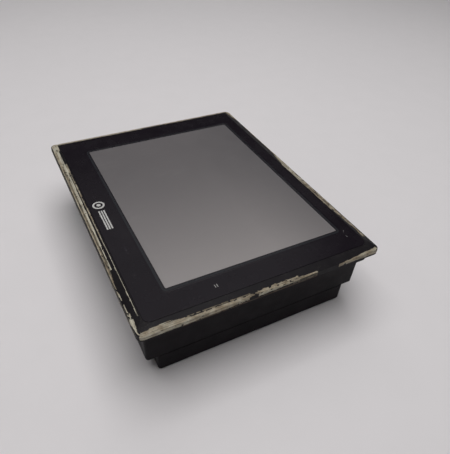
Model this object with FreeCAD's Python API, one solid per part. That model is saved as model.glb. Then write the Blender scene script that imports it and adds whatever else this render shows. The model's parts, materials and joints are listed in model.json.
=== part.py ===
import FreeCAD, Part
import math
import os

from FreeCAD import Vector

# A flush-mounting operator panel, lying on its rear cover.
# +X is the operator's right, +Y is up on the screen, +Z points out of the screen.
# The origin is under the middle of the rim, on the rear face of the back cover.

# Driving dimensions, in millimetres.
RIM_X = 227.0
RIM_Y = 174.5
RIM_RADIUS = 4.0
DEPTH = 57.0
WINDOW_X = 172.4
WINDOW_Y = 129.3
WINDOW_CX = 0.8
WINDOW_CY = 4.5

# Front bezel and film.
FILM = 0.5
FILM_GAP = 0.3
FILM_INSET = 6.6
LIP_INSET = 5.8
LIP_TOP = DEPTH - 0.2
RIM_TOP = DEPTH - 2.4
RIM_BACK = DEPTH - 6.4
FILM_BACK = DEPTH - FILM
COLLAR_X = 218.6
COLLAR_Y = 165.7
COLLAR_WALL = 2.5
COLLAR_BACK = DEPTH - 11.7
BEZEL_PLATE_BACK = DEPTH - 3.3
BEZEL_OPENING = (178.0, 135.0)
GASKET_OUTER = (224.8, 172.3)
GASKET_INNER = (220.0, 167.1)
GASKET_GROOVE = 1.2
GASKET_PROUD = 0.8
CASE_BOSS = 2.6
CASE_PILOT = 1.55
CLIP_BOSS = 2.3
CLIP_PILOT = 1.05
PILOT_END = BEZEL_PLATE_BACK - 1.0

# Rear case: the larger housing step.
CASE_TOP_X = 207.6
CASE_TOP_Y = 163.2
CASE_END_X = 206.0
CASE_END_Y = 161.6
CASE_RADIUS = 2.0
HOLLOW_RADIUS = 1.0
CASE_WALL = 2.0
CASE_FLANGE_BACK = 43.5
CASE_BACK = 15.2
CASE_CHAMFER = 1.0
CASE_OPENING_X = 188.0
CASE_OPENING_Y = 132.0

# Back cover: the smaller housing step.
COVER_X = 205.4
COVER_Y = 146.6
COVER_DRAFT = 0.3
COVER_WALL = 2.0
COVER_PLATE = 2.2
COVER_CHAMFER = 1.4

# Touch glass and display module.
GLASS_X = 186.0
GLASS_Y = 143.0
GLASS = 1.8
FLAT_CABLE = 0.3
TAIL_HALF = 6.0
RIBBON_X = (31.0, 61.0)
LEAD_X = (-52.2, -49.8)
POCKET_GAP = 0.3
DISPLAY_X = 190.0
DISPLAY_Y = 138.0
DISPLAY_CY = 4.3
SHEET_METAL = 0.6
TRAY_BACK = 47.8
FRAME_SKIRT_BACK = 48.4
GUIDE_Z = (48.6, 51.1)
SHEETS_FRONT = 51.7
CELL_FRONT = 53.1
GUIDE_HALF = 92.0
BACKLIGHT_LAMPS = 24
CLIP_THICKNESS = 1.0

# Boards.
BOARD_X = 185.0
BOARD_Y = 129.0
BOARD_BACK = 15.0
BOARD = 1.6
BOARD_TOP = BOARD_BACK + BOARD
CAN_HEIGHT = 10.0
HEATSINK_FINS = 10
PROCESSOR_BOX = (8.0, 35.0, -26.0, 1.0)
PROCESSOR = 2.0
POWER_BOARD_BOX = (-88.0, -18.0, -55.0, 35.0)
POWER_BOARD_BACK = 30.2
POWER_BOARD_TOP = POWER_BOARD_BACK + BOARD
STANDOFF_RADIUS = 2.8

# Screw places, each (x, y).
CASE_SCREWS = [(x, y) for x in (-96.0, 0.0, 96.0) for y in (-76.7, 76.7)]
COVER_SCREWS = [(x, y) for x in (-97.4, 97.4) for y in (-63.0, 63.0)]
CLIP_SCREWS = [(x, y) for x in (-101.0, 101.0) for y in (-46.0, 54.0)]
BOARD_SCREWS = [(x, y) for x in (-88.0, 88.0) for y in (-60.0, 60.0)]
BOARD_SCREWS += [(10.7, -58.0), (10.7, 58.0)]
POWER_SCREWS = [(x, y) for x in (-84.0, -22.0) for y in (-51.0, 31.0)]
PEGS = [(102.2, -35.4), (102.2, -27.4)]

# Sockets along the lower edge, by the X of their middles.
TERMINAL_X = -74.0
SERIAL_X = (-44.0, -8.0)
NETWORK_X = 22.0
HOST_X = 44.0
DEVICE_X = 62.0
KEY_X = 78.0
KEY_Z = 11.0
KEY_TRAVEL = 0.5
KEY_SPARE = 0.2
SWITCH_FRONT = -69.0
PITCH = 5.08
PLUG_FRONT = -77.5
PLUG_LENGTH = 20.0
PLUG_HALF = 8.2
PLUG_Z = (5.7, 13.5)
PLUG_GAP = 0.3
PLUG_SCREW_Y = PLUG_FRONT + 4.0
PLUG_SCREW_RADIUS = 1.9
WIRE_DEPTH = 7.0
PIN_Z = 9.4
WIRE_HALF = 2.1
WIRE_Z = (8.7, 12.8)
SERIAL_Z = 8.6
SERIAL_SPACING = 25.0
COVER_FRONT = -COVER_Y / 2
COVER_INSIDE = COVER_FRONT + COVER_WALL
SOCKET_FRONT = -74.0
SHIELD = 0.4

# Service door in the left wall.
DOOR_Y = (-28.0, 32.0)
DOOR_Z = (19.4, 33.0)
DOOR_X = (-102.9, -101.3)
DOOR_GAP = 0.3
PIN_RADIUS = 0.7
PIN_GAP = 0.05
PIN_LENGTH = 1.3
CARD_Y = -14.0
BATTERY_PLACE = (-78.0, 14.0)

# Status lamp, by the middle of its light window.
LAMP_X = 98.1
LAMP_Y = -31.4
LAMP_HEIGHT = 1.0
LAMP_BOARD_Z = (50.0, 51.0)
PEG_RADIUS = 0.8

# Slots for the mounting clamps, in the upper and lower walls.
CLAMP_SLOT_X = (-60.0, 60.0)
CLAMP_SLOT_WIDTH = 12.0
CLAMP_SLOT_Z = (33.0, 37.8)


def box(x0, x1, y0, y1, z0, z1):
    return Part.makeBox(x1 - x0, y1 - y0, z1 - z0, Vector(x0, y0, z0))


def rod(x, y, z0, z1, radius):
    return Part.makeCylinder(radius, z1 - z0, Vector(x, y, z0))


def rod_y(x, y0, y1, z, radius):
    return Part.makeCylinder(radius, y1 - y0, Vector(x, y0, z), Vector(0, 1, 0))


def hexagon(x, y, z0, z1, radius):
    """A six-sided post along Z; radius is to its corners."""
    angles = [math.pi * (i % 6) / 3 for i in range(7)]
    points = [Vector(x + radius * math.cos(a), y + radius * math.sin(a), z0) for a in angles]
    return Part.Face(Part.makePolygon(points)).extrude(Vector(0, 0, z1 - z0))


def hexagon_y(x, y0, y1, z, radius):
    """A six-sided post along Y; radius is to its corners."""
    angles = [math.pi * (i % 6) / 3 for i in range(7)]
    points = [Vector(x + radius * math.cos(a), y0, z + radius * math.sin(a)) for a in angles]
    return Part.Face(Part.makePolygon(points)).extrude(Vector(0, y1 - y0, 0))


def rounded_wire(size_x, size_y, radius, z, cx=0.0, cy=0.0):
    """A rectangle with round corners, as four lines and four arcs."""
    hx, hy = size_x / 2, size_y / 2
    middles = [(hx - radius, hy - radius, 0), (radius - hx, hy - radius, 90),
               (radius - hx, radius - hy, 180), (hx - radius, radius - hy, 270)]
    arcs = []
    for mx, my, start in middles:
        ends = []
        for turn in (0, 45, 90):
            angle = math.radians(start + turn)
            ends.append(Vector(cx + mx + radius * math.cos(angle),
                               cy + my + radius * math.sin(angle), z))
        arcs.append(ends)
    edges = []
    for i, (first, middle, last) in enumerate(arcs):
        edges.append(Part.Arc(first, middle, last).toShape())
        edges.append(Part.makeLine(last, arcs[(i + 1) % 4][0]))
    return Part.Wire(edges)


def plate(size_x, size_y, radius, z0, z1, cx=0.0, cy=0.0):
    face = Part.Face(rounded_wire(size_x, size_y, radius, z0, cx, cy))
    return face.extrude(Vector(0, 0, z1 - z0))


def ring(outer, inner, radius, inner_radius, z0, z1, cx=0.0, cy=0.0):
    whole = plate(outer[0], outer[1], radius, z0, z1, cx, cy)
    return whole.cut(plate(inner[0], inner[1], inner_radius, z0 - 1, z1 + 1, cx, cy))


def loft(levels):
    """A drafted block through (size_x, size_y, radius, z) outlines."""
    wires = [rounded_wire(*level) for level in levels]
    return Part.makeLoft(wires, True, True)


def ribbon(points, thickness, x0, x1):
    """A flat strip of even thickness that follows (y, z) points, with mitred bends."""
    left, right = [], []
    last = len(points) - 1
    for i, (y, z) in enumerate(points):
        before = points[max(i - 1, 0)]
        after = points[min(i + 1, last)]
        normals = []
        for a, b in ((before, (y, z)), ((y, z), after)):
            length = math.hypot(b[0] - a[0], b[1] - a[1])
            if length > 0:
                normals.append((-(b[1] - a[1]) / length, (b[0] - a[0]) / length))
        ny = sum(n[0] for n in normals) / len(normals)
        nz = sum(n[1] for n in normals) / len(normals)
        scale = thickness / 2 / (ny * ny + nz * nz)
        left.append(Vector(x0, y + ny * scale, z + nz * scale))
        right.append(Vector(x0, y - ny * scale, z - nz * scale))
    outline = left + right[::-1] + [left[0]]
    return Part.Face(Part.makePolygon(outline)).extrude(Vector(x1 - x0, 0, 0))


def screw(x, y, head_back, head_height, head_radius, tip, radius):
    """A screw that points up: round head at the back, plain shank, cross slot in the head."""
    head_front = head_back + head_height
    shape = rod(x, y, head_back, head_front, head_radius)
    shape = shape.fuse(rod(x, y, head_front, tip, radius))
    return shape.cut(cross_slot(x, y, head_back, head_back + head_height * 0.55, head_radius))


def cross_slot(x, y, z0, z1, head_radius):
    arm, half = head_radius * 0.62, head_radius * 0.13
    slot = box(x - arm, x + arm, y - half, y + half, z0 - 0.01, z1)
    return slot.fuse(box(x - half, x + half, y - arm, y + arm, z0 - 0.01, z1))


def down_screw(x, y, seat, head_height, head_radius, tip, radius):
    """A screw that points down from its seat."""
    top = seat + head_height
    shape = rod(x, y, seat, top, head_radius).fuse(rod(x, y, tip, seat, radius))
    return shape.cut(cross_slot(x, y, top - head_height * 0.55, top + 0.01, head_radius))


def group(shapes):
    return Part.makeCompound(shapes)


def cut_all(shape, tools):
    return shape.cut(group(tools)) if tools else shape


# ---- front -------------------------------------------------------------------

def front_bezel():
    rim = plate(RIM_X, RIM_Y, RIM_RADIUS, RIM_BACK, RIM_TOP)
    lip_x, lip_y = RIM_X - 2 * LIP_INSET, RIM_Y - 2 * LIP_INSET
    lip_radius = 5.4
    bevel = loft([(RIM_X, RIM_Y, RIM_RADIUS, RIM_TOP), (lip_x, lip_y, lip_radius, LIP_TOP)])
    collar = plate(COLLAR_X, COLLAR_Y, RIM_RADIUS, COLLAR_BACK, RIM_BACK)
    shape = rim.fuse([bevel, collar])

    inner_x, inner_y = COLLAR_X - 2 * COLLAR_WALL, COLLAR_Y - 2 * COLLAR_WALL
    recess_inset = FILM_INSET - FILM_GAP
    tools = [
        plate(inner_x, inner_y, 2.0, COLLAR_BACK - 1, BEZEL_PLATE_BACK),
        plate(RIM_X - 2 * recess_inset, RIM_Y - 2 * recess_inset, 4.9, FILM_BACK, DEPTH),
        plate(GLASS_X + 2 * POCKET_GAP, GLASS_Y + 2 * POCKET_GAP, 1.0,
              FILM_BACK - GLASS, DEPTH, WINDOW_CX, WINDOW_CY),
        plate(*BEZEL_OPENING, 1.0, BEZEL_PLATE_BACK - 1, DEPTH, WINDOW_CX, WINDOW_CY),
        gasket_ring(RIM_BACK - 1, RIM_BACK + GASKET_GROOVE, 0.1),
        box(-TAIL_HALF - 2, TAIL_HALF + 2, -70.8, -66.0, BEZEL_PLATE_BACK - 1, DEPTH),
        box(LAMP_X - 1.8, LAMP_X + 1.8, LAMP_Y - 0.9, LAMP_Y + 0.9, BEZEL_PLATE_BACK - 1, DEPTH),
    ]
    shape = cut_all(shape, tools)

    case_boss_back = CASE_FLANGE_BACK + 0.3
    bosses = [rod(x, y, case_boss_back, BEZEL_PLATE_BACK, CASE_BOSS) for x, y in CASE_SCREWS]
    bosses += [rod(x, y, TRAY_BACK, BEZEL_PLATE_BACK, CLIP_BOSS) for x, y in CLIP_SCREWS]
    for x, y in PEGS:
        bosses.append(rod(x, y, LAMP_BOARD_Z[1], BEZEL_PLATE_BACK, 1.6))
        bosses.append(rod(x, y, LAMP_BOARD_Z[0] - 0.4, LAMP_BOARD_Z[1], PEG_RADIUS))
    shape = shape.fuse(bosses)
    pilots = [rod(x, y, case_boss_back - 1, PILOT_END, CASE_PILOT) for x, y in CASE_SCREWS]
    pilots += [rod(x, y, TRAY_BACK - 1, PILOT_END, CLIP_PILOT) for x, y in CLIP_SCREWS]
    return cut_all(shape, pilots).removeSplitter()


def gasket_ring(z0, z1, extra=0.0):
    outer = [size + extra for size in GASKET_OUTER]
    inner = [size - extra for size in GASKET_INNER]
    return ring(outer, inner, 3.6, 4.2, z0, z1)


def overlay_sheet():
    return plate(RIM_X - 2 * FILM_INSET, RIM_Y - 2 * FILM_INSET, 4.6, FILM_BACK, DEPTH)


def panel_gasket():
    return gasket_ring(RIM_BACK - GASKET_PROUD, RIM_BACK + GASKET_GROOVE)


def light_pipe():
    """A clear bar from the lamp to the film, with a foot behind the bezel."""
    back = LAMP_BOARD_Z[1] + LAMP_HEIGHT + 0.1
    foot_front = BEZEL_PLATE_BACK - 0.1
    bar = box(LAMP_X - 1.6, LAMP_X + 1.6, LAMP_Y - 0.7, LAMP_Y + 0.7, back, FILM_BACK)
    return bar.fuse(box(LAMP_X - 1.6, LAMP_X + 1.6, LAMP_Y - 1.4, LAMP_Y + 1.4, back, foot_front))


def indicator_board():
    back, front = LAMP_BOARD_Z
    board = box(LAMP_X - 1.6, LAMP_X + 6.5, LAMP_Y - 7.0, LAMP_Y + 7.0, back, front)
    return cut_all(board, [rod(x, y, back - 1, front + 1, PEG_RADIUS + PIN_GAP) for x, y in PEGS])


def status_lamp():
    back = LAMP_BOARD_Z[1]
    return box(LAMP_X - 1.5, LAMP_X + 1.5, LAMP_Y - 0.8, LAMP_Y + 0.8, back, back + LAMP_HEIGHT)


# ---- touch and display ---------------------------------------------------------

def touch_glass():
    return plate(GLASS_X, GLASS_Y, 0.8, FILM_BACK - GLASS, FILM_BACK, WINDOW_CX, WINDOW_CY)


def touch_foam():
    outer = [size - 0.6 for size in BEZEL_OPENING]
    inner = [size - 4.6 for size in BEZEL_OPENING]
    return ring(outer, inner, 0.8, 0.8, BEZEL_PLATE_BACK, FILM_BACK - GLASS, WINDOW_CX, WINDOW_CY)


def touch_tail():
    path = [(-67.0, 55.6), (-69.2, 55.6), (-69.8, 54.8), (-69.8, 26.0), (-68.6, 23.0),
            (-64.4, 19.4), (-63.0, 18.8), (-60.6, 18.8)]
    return ribbon(path, FLAT_CABLE, -TAIL_HALF, TAIL_HALF)


def display_front_frame():
    back, front = FRAME_SKIRT_BACK, BEZEL_PLATE_BACK
    outer = plate(DISPLAY_X, DISPLAY_Y, 1.5, back, front, WINDOW_CX, DISPLAY_CY)
    inside = plate(DISPLAY_X - 2 * SHEET_METAL, DISPLAY_Y - 2 * SHEET_METAL, 1.0,
                   back - 1, front - SHEET_METAL, WINDOW_CX, DISPLAY_CY)
    opening = plate(WINDOW_X + 2, WINDOW_Y + 2, 0.5, back - 1, front + 1, WINDOW_CX, WINDOW_CY)
    return outer.cut(inside).cut(opening)


def display_cell():
    return plate(DISPLAY_X - 3, DISPLAY_Y - 3, 0.5, SHEETS_FRONT, CELL_FRONT, WINDOW_CX, DISPLAY_CY)


def optical_sheets():
    return plate(DISPLAY_X - 4, DISPLAY_Y - 4, 0.5, GUIDE_Z[1] + 0.1, SHEETS_FRONT,
                 WINDOW_CX, DISPLAY_CY)


def light_guide():
    y_low = DISPLAY_CY - DISPLAY_Y / 2
    return box(WINDOW_CX - GUIDE_HALF, WINDOW_CX + GUIDE_HALF,
               y_low + 4.4, y_low + DISPLAY_Y - 2.4, *GUIDE_Z)


def backlight_strip():
    y_low = DISPLAY_CY - DISPLAY_Y / 2
    back, front = GUIDE_Z[0], GUIDE_Z[1] - 0.1
    strip = box(WINDOW_CX - GUIDE_HALF, WINDOW_CX + GUIDE_HALF, y_low + 2.2, y_low + 3.0, back, front)
    lamps = []
    pitch = 2 * (GUIDE_HALF - 4.0) / (BACKLIGHT_LAMPS - 1)
    for i in range(BACKLIGHT_LAMPS):
        x = WINDOW_CX - GUIDE_HALF + 4.0 + i * pitch
        lamps.append(box(x - 1.9, x + 1.9, y_low + 3.0, y_low + 4.2, back + 0.3, front - 0.3))
    return strip.fuse(lamps)


def display_rear_tray():
    size_x, size_y = DISPLAY_X - 1.6, DISPLAY_Y - 1.6
    outer = plate(size_x, size_y, 1.0, TRAY_BACK, GUIDE_Z[1], WINDOW_CX, DISPLAY_CY)
    inside = plate(size_x - 2 * SHEET_METAL, size_y - 2 * SHEET_METAL, 0.8,
                   GUIDE_Z[0], GUIDE_Z[1] + 1, WINDOW_CX, DISPLAY_CY)
    return outer.cut(inside)


def display_clips():
    clips = []
    for x, y in CLIP_SCREWS:
        side = math.copysign(1, x)
        ends = sorted((side * 86.0, side * 104.6))
        clip = box(ends[0], ends[1], y - 6, y + 6, TRAY_BACK - CLIP_THICKNESS, TRAY_BACK)
        clips.append(clip.cut(rod(x, y, TRAY_BACK - 2, TRAY_BACK + 1, 1.2)))
    return group(clips)


def clip_screws():
    head = 1.2
    back = TRAY_BACK - CLIP_THICKNESS - head
    tip = PILOT_END - 0.3
    return group([screw(x, y, back, head, 2.2, tip, CLIP_PILOT - PIN_GAP) for x, y in CLIP_SCREWS])


def display_socket():
    x0, x1 = RIBBON_X
    body = box(x0 - 1, x1 + 1, 26.0, 32.0, 45.9, TRAY_BACK)
    return body.cut(box(x0, x1, 25.0, 27.4, 46.1, 47.1))


def display_ribbon():
    path = [(26.2, 46.6), (20.0, 46.2), (15.0, 43.0), (13.0, 38.0), (13.0, 27.0),
            (15.0, 21.4), (20.0, 18.6), (25.8, 18.4)]
    return ribbon(path, FLAT_CABLE, RIBBON_X[0] + 1, RIBBON_X[1] - 1)


def backlight_lead():
    y_start = DISPLAY_CY - DISPLAY_Y / 2 - 0.6
    path = [(y_start, 48.0), (y_start - 2.0, 46.0), (y_start - 1.0, 42.0), (-60.0, 37.0),
            (-54.0, 34.4), (-52.2, 34.0)]
    return ribbon(path, 1.2, *LEAD_X)


# ---- housing -------------------------------------------------------------------

def rear_case():
    flange = plate(COLLAR_X, COLLAR_Y, RIM_RADIUS, CASE_FLANGE_BACK, COLLAR_BACK)
    shell = loft([
        (CASE_END_X - 2 * CASE_CHAMFER, CASE_END_Y - 2 * CASE_CHAMFER,
         CASE_RADIUS - CASE_CHAMFER, CASE_BACK),
        (CASE_END_X, CASE_END_Y, CASE_RADIUS, CASE_BACK + CASE_CHAMFER),
        (CASE_TOP_X, CASE_TOP_Y, CASE_RADIUS, CASE_FLANGE_BACK)])
    hollow = loft([
        (CASE_END_X - 2 * CASE_WALL, CASE_END_Y - 2 * CASE_WALL, HOLLOW_RADIUS, CASE_BACK + CASE_WALL),
        (CASE_TOP_X - 2 * CASE_WALL, CASE_TOP_Y - 2 * CASE_WALL, HOLLOW_RADIUS, CASE_FLANGE_BACK)])
    mouth = plate(CASE_TOP_X - 2 * CASE_WALL, CASE_TOP_Y - 2 * CASE_WALL, HOLLOW_RADIUS,
                  CASE_FLANGE_BACK, COLLAR_BACK + 1)
    opening = plate(CASE_OPENING_X, CASE_OPENING_Y, 2.0, CASE_BACK - 1, CASE_BACK + 4)
    shape = flange.fuse(shell).cut(hollow).cut(mouth).cut(opening)

    posts = [rod(x, y, CASE_BACK + 1, CASE_FLANGE_BACK, 3.8) for x, y in CASE_SCREWS]
    posts += [box(side * 80.0 - 0.7, side * 80.0 + 0.7, edge * 77.5 - 3, edge * 77.5 + 3,
                  CASE_BACK + 1, 40.0) for side in (-1, 1) for edge in (-1, 1)]
    inside = loft([
        (CASE_END_X - 1, CASE_END_Y - 1, CASE_RADIUS - 0.5, CASE_BACK + 1),
        (CASE_TOP_X - 1, CASE_TOP_Y - 1, CASE_RADIUS - 0.5, CASE_FLANGE_BACK)])
    posts = [post.common(inside) for post in posts]
    posts += [rod(x, y, CASE_BACK, 25.0, 3.2) for x, y in COVER_SCREWS]
    shape = shape.fuse(posts)
    return cut_all(shape, case_cuts()).removeSplitter()


def case_cuts():
    tools = []
    for x, y in CASE_SCREWS:
        tools.append(rod(x, y, CASE_BACK - 1, 24.0, 2.75))
        tools.append(rod(x, y, 20.0, COLLAR_BACK, 1.65))
    tools += [rod(x, y, CASE_BACK - 1, 23.0, 1.3) for x, y in COVER_SCREWS]
    for x in CLAMP_SLOT_X:
        half = CLAMP_SLOT_WIDTH / 2
        for y0, y1 in ((-84.0, -78.0), (78.0, 84.0)):
            tools.append(box(x - half, x + half, y0, y1, *CLAMP_SLOT_Z))
    for i in range(13):
        x = (i - 6) * 6.0
        if abs(x) > 4:
            tools.append(box(x - 1.1, x + 1.1, 78.0, 84.0, 23.0, 38.0))
            tools.append(box(x - 1.1, x + 1.1, -84.0, -78.0, 27.0, 40.0))
    tools += door_cuts()
    return tools


def door_cuts():
    y0, y1 = DOOR_Y
    axis_x = sum(DOOR_X) / 2
    axis_z = DOOR_Z[0]
    opening = box(-106.0, -99.0, y0 - DOOR_GAP, y1 + DOOR_GAP, axis_z - 1.0, DOOR_Z[1] + DOOR_GAP)
    hole = PIN_RADIUS + PIN_GAP
    reach = PIN_LENGTH + 0.3
    pins = [rod_y(axis_x, y0 - reach, y0, axis_z, hole), rod_y(axis_x, y1, y1 + reach, axis_z, hole)]
    return [opening] + pins


def service_door():
    """A flat lid that turns on two short pins moulded at its lower edge."""
    y0, y1 = DOOR_Y
    axis_x = sum(DOOR_X) / 2
    axis_z = DOOR_Z[0]
    half = (DOOR_X[1] - DOOR_X[0]) / 2
    lid = box(DOOR_X[0], DOOR_X[1], y0, y1, axis_z, DOOR_Z[1])
    lid = lid.fuse(rod_y(axis_x, y0, y1, axis_z, half))
    lid = lid.fuse(rod_y(axis_x, y0 - PIN_LENGTH, y1 + PIN_LENGTH, axis_z, PIN_RADIUS))
    scoop = rod_y(DOOR_X[0] - 3.4, -6.0, 10.0, DOOR_Z[1] - 2.6, 4.2)
    return lid.cut(scoop).removeSplitter()


def back_cover():
    top_x, top_y = COVER_X, COVER_Y
    low_x, low_y = COVER_X - 2 * COVER_DRAFT, COVER_Y - 2 * COVER_DRAFT
    shell = loft([
        (low_x - 2 * COVER_CHAMFER, low_y - 2 * COVER_CHAMFER, CASE_RADIUS - COVER_CHAMFER, 0.0),
        (low_x, low_y, CASE_RADIUS, COVER_CHAMFER),
        (top_x, top_y, CASE_RADIUS, CASE_BACK)])
    hollow = plate(top_x - 2 * COVER_WALL - 0.6, top_y - 2 * COVER_WALL, HOLLOW_RADIUS,
                   COVER_PLATE, CASE_BACK + 1)
    shape = shell.cut(hollow)
    posts = [rod(x, y, 1.0, CASE_BACK, 3.6) for x, y in COVER_SCREWS]
    within = plate(top_x - 2, top_y - 2, CASE_RADIUS - 1, 0.5, CASE_BACK)
    shape = shape.fuse([post.common(within) for post in posts])
    return cut_all(shape, cover_cuts()).removeSplitter()


def cover_cuts():
    tools = []
    for x, y in COVER_SCREWS:
        tools.append(rod(x, y, -1.0, 3.2, 2.9))
        tools.append(rod(x, y, 0.0, CASE_BACK + 1, 1.6))
    tools += [rod(x, y, 1.0, 5.0, 1.75) for x, y in BOARD_SCREWS]
    for side in (-1, 1):
        for i in range(11):
            x = side * 55.0 + (i - 5) * 4.6
            tools.append(plate(2.2, 30.0, 1.05, -1.0, COVER_PLATE + 1, x, 36.0))
    tools.append(plate(90.0, 44.0, 1.0, -1.0, 0.4, 0.0, -16.0))
    y0, y1 = COVER_FRONT - 2, COVER_INSIDE + 0.5
    tools.append(box(TERMINAL_X - 9.9, TERMINAL_X + 9.9, y0, y1, -1.0, CASE_BACK + 1))
    tools.append(box(NETWORK_X - 8.3, NETWORK_X + 8.3, y0, y1, COVER_PLATE, CASE_BACK + 1))
    tools.append(box(HOST_X - 6.9, HOST_X + 6.9, y0, y1, 8.9, CASE_BACK + 1))
    tools.append(box(DEVICE_X - 6.3, DEVICE_X + 6.3, y0, y1, 3.8, CASE_BACK + 1))
    tools.append(rod_y(KEY_X, y0, y1, KEY_Z, 2.45))
    for x in SERIAL_X:
        tools.append(d_outline(x, 9.2, 4.9, y0, y1))
        for side in (-1, 1):
            tools.append(rod_y(x + side * SERIAL_SPACING / 2, y0, y1, SERIAL_Z, 3.0))
    return tools


def rating_plate():
    return plate(89.0, 43.0, 0.8, 0.15, 0.4, 0.0, -16.0)


def case_screws():
    return group([screw(x, y, 21.8, 2.2, 2.6, 52.0, 1.5) for x, y in CASE_SCREWS])


def cover_screws():
    return group([screw(x, y, 1.2, 2.0, 2.7, 21.0, 1.25) for x, y in COVER_SCREWS])


# ---- boards --------------------------------------------------------------------

def main_board():
    board = plate(BOARD_X, BOARD_Y, 2.0, BOARD_BACK, BOARD_TOP)
    holes = [rod(x, y, BOARD_BACK - 1, BOARD_TOP + 1, 1.4) for x, y in BOARD_SCREWS + POWER_SCREWS]
    return cut_all(board, holes)


def board_standoffs():
    posts = []
    for x, y in BOARD_SCREWS:
        post = hexagon(x, y, COVER_PLATE, BOARD_BACK, STANDOFF_RADIUS)
        post = post.fuse(rod(x, y, 1.0, COVER_PLATE, 1.75))
        posts.append(post.cut(rod(x, y, 4.0, BOARD_BACK + 1, 1.3)))
    return group(posts)


def board_screws():
    return group([down_screw(x, y, BOARD_TOP, 1.8, 2.5, 7.0, 1.25) for x, y in BOARD_SCREWS])


def power_board():
    x0, x1, y0, y1 = POWER_BOARD_BOX
    board = box(x0, x1, y0, y1, POWER_BOARD_BACK, POWER_BOARD_TOP)
    holes = [rod(x, y, POWER_BOARD_BACK - 1, POWER_BOARD_TOP + 1, 1.4) for x, y in POWER_SCREWS]
    return cut_all(board, holes)


def power_spacers():
    posts = []
    for x, y in POWER_SCREWS:
        post = hexagon(x, y, BOARD_TOP, POWER_BOARD_BACK, STANDOFF_RADIUS)
        post = post.fuse(rod(x, y, BOARD_BACK, BOARD_TOP, 1.3))
        posts.append(post.cut(rod(x, y, 22.0, POWER_BOARD_BACK + 1, 1.3)))
    return group(posts)


def power_screws():
    seat = POWER_BOARD_TOP
    return group([down_screw(x, y, seat, 1.8, 2.5, 24.0, 1.25) for x, y in POWER_SCREWS])


def inductor():
    x, y, z, height = -66.0, -20.0, POWER_BOARD_TOP, 9.0
    core = rod(x, y, z, z + height, 8.0).cut(rod(x, y, z - 1, z + height + 1, 3.0))
    return core.makeFillet(1.5, [e for e in core.Edges if e.Length > 15 and is_circle(e)])


def is_circle(edge):
    return isinstance(edge.Curve, Part.Circle)


def capacitors():
    """Four upright cans with a rounded upper edge."""
    cans = []
    for x, y in ((-40.0, -30.0), (-40.0, -16.0), (-40.0, -2.0), (-66.0, 6.0)):
        can = rod(x, y, POWER_BOARD_TOP, POWER_BOARD_TOP + CAN_HEIGHT, 4.0)
        top = [e for e in can.Edges if is_circle(e) and e.CenterOfMass.z > POWER_BOARD_TOP + 5]
        cans.append(can.makeFillet(0.5, top))
    return group(cans)


def processor():
    return box(*PROCESSOR_BOX, BOARD_TOP, BOARD_TOP + PROCESSOR)


def heatsink():
    """A finned block, 1.5 mm wider than the processor all round."""
    x0, x1, y0, y1 = PROCESSOR_BOX
    x0, x1, y0, y1 = x0 - 1.5, x1 + 1.5, y0 - 1.5, y1 + 1.5
    z, base, fin, height = BOARD_TOP + PROCESSOR, 2.0, 0.975, 9.0
    pitch = (x1 - x0 - fin) / (HEATSINK_FINS - 1)
    fins = [box(x0 + i * pitch, x0 + i * pitch + fin, y0, y1, z + base, z + height)
            for i in range(HEATSINK_FINS)]
    return box(x0, x1, y0, y1, z, z + base).fuse(fins)


def memory_chips():
    chips = [box(44.0, 66.0, y, y + 10.0, BOARD_TOP, BOARD_TOP + 1.1) for y in (-44.0, -30.0, -16.0)]
    chips += [box(x, x + 12.0, 40.0, 52.0, BOARD_TOP, BOARD_TOP + 1.4) for x in (-30.0, -10.0)]
    return group(chips)


def buzzer():
    body = rod(76.0, 30.0, BOARD_TOP, BOARD_TOP + 8.0, 6.0)
    return body.cut(rod(76.0, 30.0, BOARD_TOP + 6.0, BOARD_TOP + 9.0, 1.2))


def battery_holder():
    x, y = BATTERY_PLACE
    body = box(x - 12.0, x + 12.0, y - 12.0, y + 12.0, BOARD_TOP, BOARD_TOP + 5.4)
    body = body.cut(rod(x, y, BOARD_TOP + 1.2, BOARD_TOP + 7, 10.3))
    return body.cut(box(x - 13.0, x - 6.0, y - 6.0, y + 6.0, BOARD_TOP + 1.2, BOARD_TOP + 7))


def coin_battery():
    x, y = BATTERY_PLACE
    cell = rod(x, y, BOARD_TOP + 1.4, BOARD_TOP + 4.6, 10.0)
    return cell.makeFillet(0.4, [e for e in cell.Edges if is_circle(e)])


def card_slot():
    x0, x1 = -92.5, -64.0
    body = box(x0, x1, CARD_Y - 14.0, CARD_Y + 14.0, BOARD_TOP, BOARD_TOP + 3.6)
    return body.cut(box(x0 - 1, x1 - 2.5, CARD_Y - 12.1, CARD_Y + 12.1, BOARD_TOP + 0.8, BOARD_TOP + 3.2))


def ribbon_sockets():
    """Board ends of the display ribbon, the touch tail and the backlight lead."""
    return group([
        slotted_block(RIBBON_X[0], RIBBON_X[1], 25.0, 31.0, BOARD_TOP, 3.0, (1.3, 2.3)),
        slotted_block(-TAIL_HALF - 1, TAIL_HALF + 1, -62.0, -57.0, BOARD_TOP, 3.0, (1.7, 2.7)),
        slotted_block(LEAD_X[0] - 0.8, LEAD_X[1] + 0.8, -52.5, -46.0, POWER_BOARD_TOP, 4.0, (1.0, 3.4)),
    ])


def slotted_block(x0, x1, y0, y1, back, height, slot):
    """A socket 1 mm wider than its slot on each side; the slot opens towards -Y, 2 mm deep."""
    body = box(x0 - 1, x1 + 1, y0, y1, back, back + height)
    return body.cut(box(x0, x1, y0 - 1, y0 + 2, back + slot[0], back + slot[1]))


# ---- sockets on the lower side ------------------------------------------------------

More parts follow.
